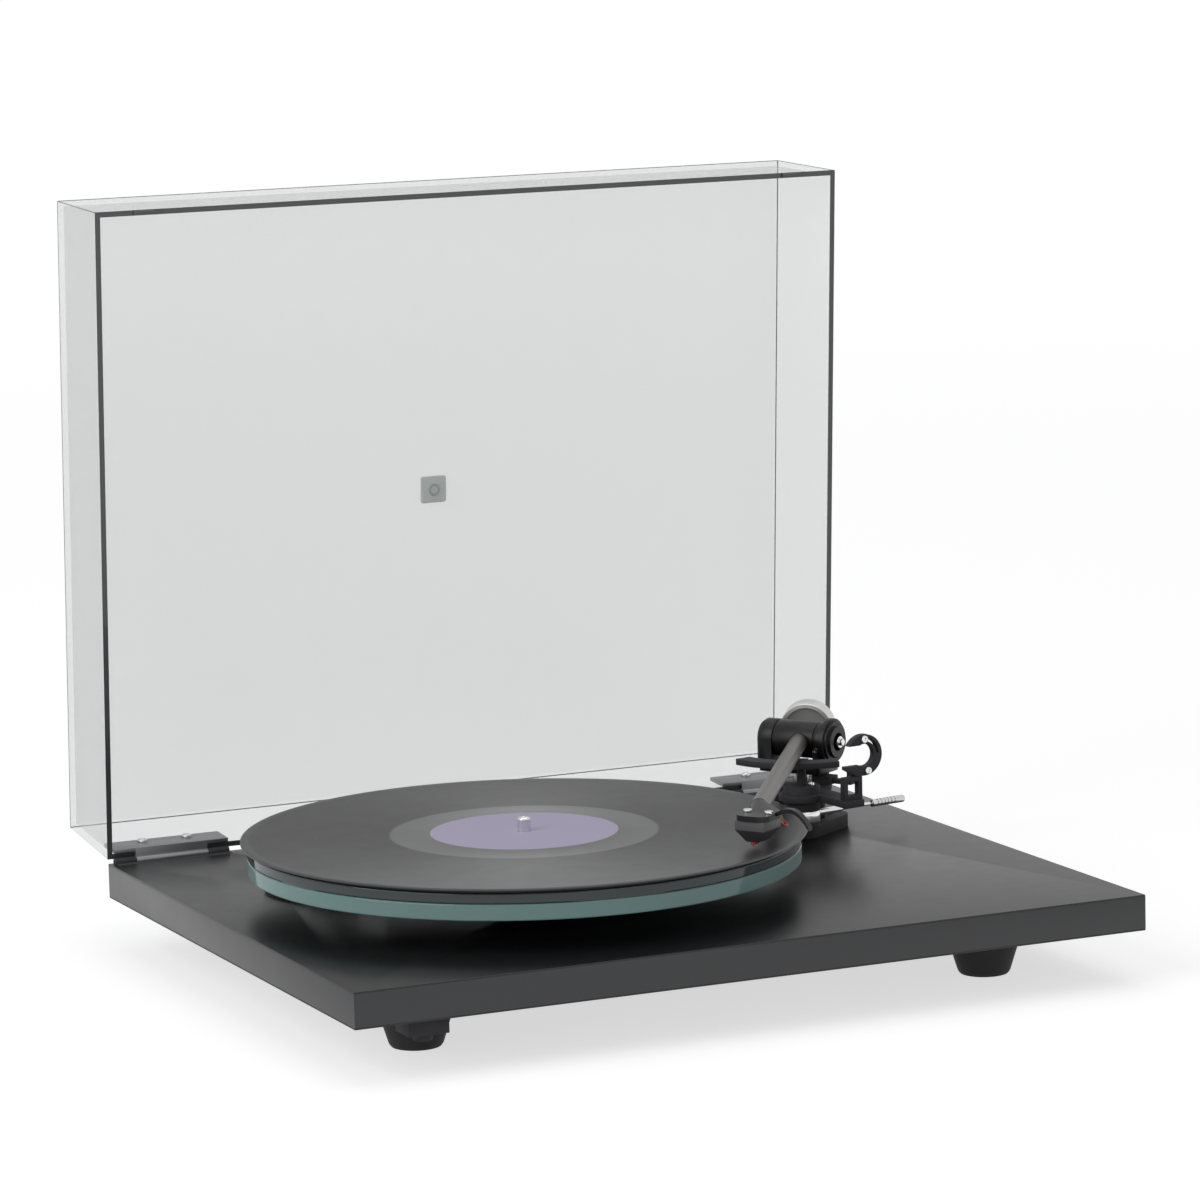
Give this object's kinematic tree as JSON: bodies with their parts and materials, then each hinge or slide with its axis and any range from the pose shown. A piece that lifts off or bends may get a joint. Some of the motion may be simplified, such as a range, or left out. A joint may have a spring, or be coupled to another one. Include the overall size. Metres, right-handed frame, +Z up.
{
  "type": "turntable record player",
  "caption": "Belt-drive record player: slim black plinth on rubber feet, layered glass platter, pivoted tonearm with cue lift and clear hinged lid, open.",
  "frame": {"origin": "middle of the footprint of the object with its lid open, on the surface it stands on", "axes": "+X to the right, +Y to the back where the lid is hinged, +Z up"},
  "size_m": [0.448, 0.4354, 0.4122],
  "materials": {
    "plinth_board": "matte black lacquered board edge",
    "deck_laminate": "satin black laminate",
    "base_laminate": "matte black laminate",
    "foot_rubber": "matte",
    "steel": "zinc plated",
    "brass": "turned",
    "motor_steel": "satin",
    "black_metal": "black anodised",
    "arm_black_metal": "satin black paint",
    "belt_rubber": "matte",
    "black_plastic": "matte",
    "hinge_plastic": "satin black",
    "arm_plastic": "satin black",
    "polished_steel": "polished",
    "teal_glass": "polished, green tint",
    "dark_glass": "polished, dark",
    "felt": "felt",
    "vinyl": "grooved, glossy",
    "label_paper": "paper",
    "aluminium": "turned",
    "hinge_metal": "satin grey",
    "clear_acrylic": "clear, polished",
    "boss_acrylic": "clear, polished",
    "clear_rubber": "translucent",
    "lever_grip": "turned, grooved",
    "tube_finish": "satin grey metallic",
    "cartridge_plastic": "satin black",
    "lead_insulation": "soft insulation in four colours",
    "weight_steel": "turned and polished"
  },
  "bodies": {
    "base": {"plinth_core": "plinth_board", "deck_skin": "deck_laminate", "base_skin": "base_laminate", "feet": "foot_rubber", "foot_screws": "steel", "bearing_housing": "brass", "bearing_ball": "steel", "motor_can": "motor_steel", "motor_plate": "black_metal", "motor_screws": "steel", "drive_belt": "belt_rubber", "switch_body": "black_plastic", "power_socket": "black_plastic", "signal_gland": "black_plastic", "hinge_bases": "hinge_plastic", "hinge_pins": "steel", "hinge_base_screws": "steel", "arm_base": "arm_plastic", "arm_base_screws": "steel", "arm_pillar": "black_metal", "arm_nut": "brass", "rest_bracket": "arm_plastic", "rest_post": "arm_plastic", "rest_claw": "arm_plastic", "rest_and_lift_screws": "steel", "bias_guide": "arm_plastic", "lift_body": "arm_plastic"},
    "platter": {"sub_platter": "black_plastic", "spindle": "polished_steel", "platter_ring": "teal_glass", "platter_disc": "dark_glass", "platter_mat": "felt", "record": "vinyl", "record_label": "label_paper"},
    "motor_rotor": {"motor_shaft": "steel", "pulley": "aluminium"},
    "button": {"power_button": "black_plastic"},
    "lid": {"hinge_leaves": "hinge_metal", "leaf_screws": "steel", "lid_shell": "clear_acrylic", "lid_boss": "boss_acrylic", "lid_bumpers": "clear_rubber"},
    "bias": {"bias_slider": "arm_plastic"},
    "lift": {"lift_platform": "arm_plastic"},
    "cue": {"cue_lever": "polished_steel", "cue_grip": "lever_grip"},
    "yoke": {"yoke": "arm_black_metal", "yoke_cap": "arm_plastic", "yoke_spindle": "steel", "yoke_screw": "steel"},
    "dial": {"force_dial": "arm_plastic", "dial_knob": "polished_steel"},
    "arm": {"arm_hub": "arm_black_metal", "arm_tube": "tube_finish", "tilt_axle": "steel", "headshell": "arm_black_metal", "cartridge": "cartridge_plastic", "cartridge_fittings": "steel", "cartridge_leads": "lead_insulation"},
    "weight": {"counterweight": "weight_steel"}
  },
  "joints": [
    {"name": "platter_spin", "type": "hinge", "parent": "base", "child": "platter", "pos_m": [-0.061, -0.05674, 0.0482], "axis": [0, 0, 1], "continuous": true},
    {"name": "motor_spin", "type": "hinge", "parent": "base", "child": "motor_rotor", "pos_m": [-0.1402, 0.02246, 0.0482], "axis": [0, 0, 1], "continuous": true},
    {"name": "power_press", "type": "slide", "parent": "base", "child": "button", "axis": [0, 0, 1], "range_m": [0, 0.002], "stiffness_N_per_m": 300, "springref_m": -0.002},
    {"name": "lid_hinge", "type": "hinge", "parent": "base", "child": "lid", "pos_m": [0, 0.14657, 0.0486], "axis": [-1, 0, 0], "range_deg": [-86.65, 0]},
    {"name": "bias_slide", "type": "slide", "parent": "base", "child": "bias", "axis": [0.5527, -0.8334, 0], "range_m": [0, 0.006]},
    {"name": "lift_slide", "type": "slide", "parent": "base", "child": "lift", "axis": [0, 0, 1], "range_m": [0, 0.0016]},
    {"name": "cue_turn", "type": "hinge", "parent": "base", "child": "cue", "pos_m": [0.133, 0.00231, 0.0632], "axis": [0, 0, -1], "range_deg": [0, 50]},
    {"name": "arm_swing", "type": "hinge", "parent": "base", "child": "yoke", "pos_m": [0.148, 0.03227, 0.1002], "axis": [0, 0, -1], "range_deg": [-39.5, 20]},
    {"name": "arm_tilt", "type": "hinge", "parent": "yoke", "child": "arm", "pos_m": [0.148, 0.03227, 0.1002], "axis": [-0.5527, 0.8334, 0], "range_deg": [0, 2.6]},
    {"name": "force_dial_turn", "type": "hinge", "parent": "yoke", "child": "dial", "pos_m": [0.148, 0.03227, 0.1002], "axis": [0.5527, -0.8334, 0], "range_deg": [0, 270]},
    {"name": "weight_slide", "type": "slide", "parent": "arm", "child": "weight", "axis": [0.5439, 0.8391, 0], "range_m": [-0.003, 0.014]}
  ],
  "couplings": [
    {"joint": "motor_spin", "follows": "platter_spin", "ratio": 7.5},
    {"joint": "lift_slide", "follows": "arm_tilt", "m_per_rad": 0.035},
    {"joint": "cue_turn", "follows": "arm_tilt", "ratio": 19.2}
  ]
}
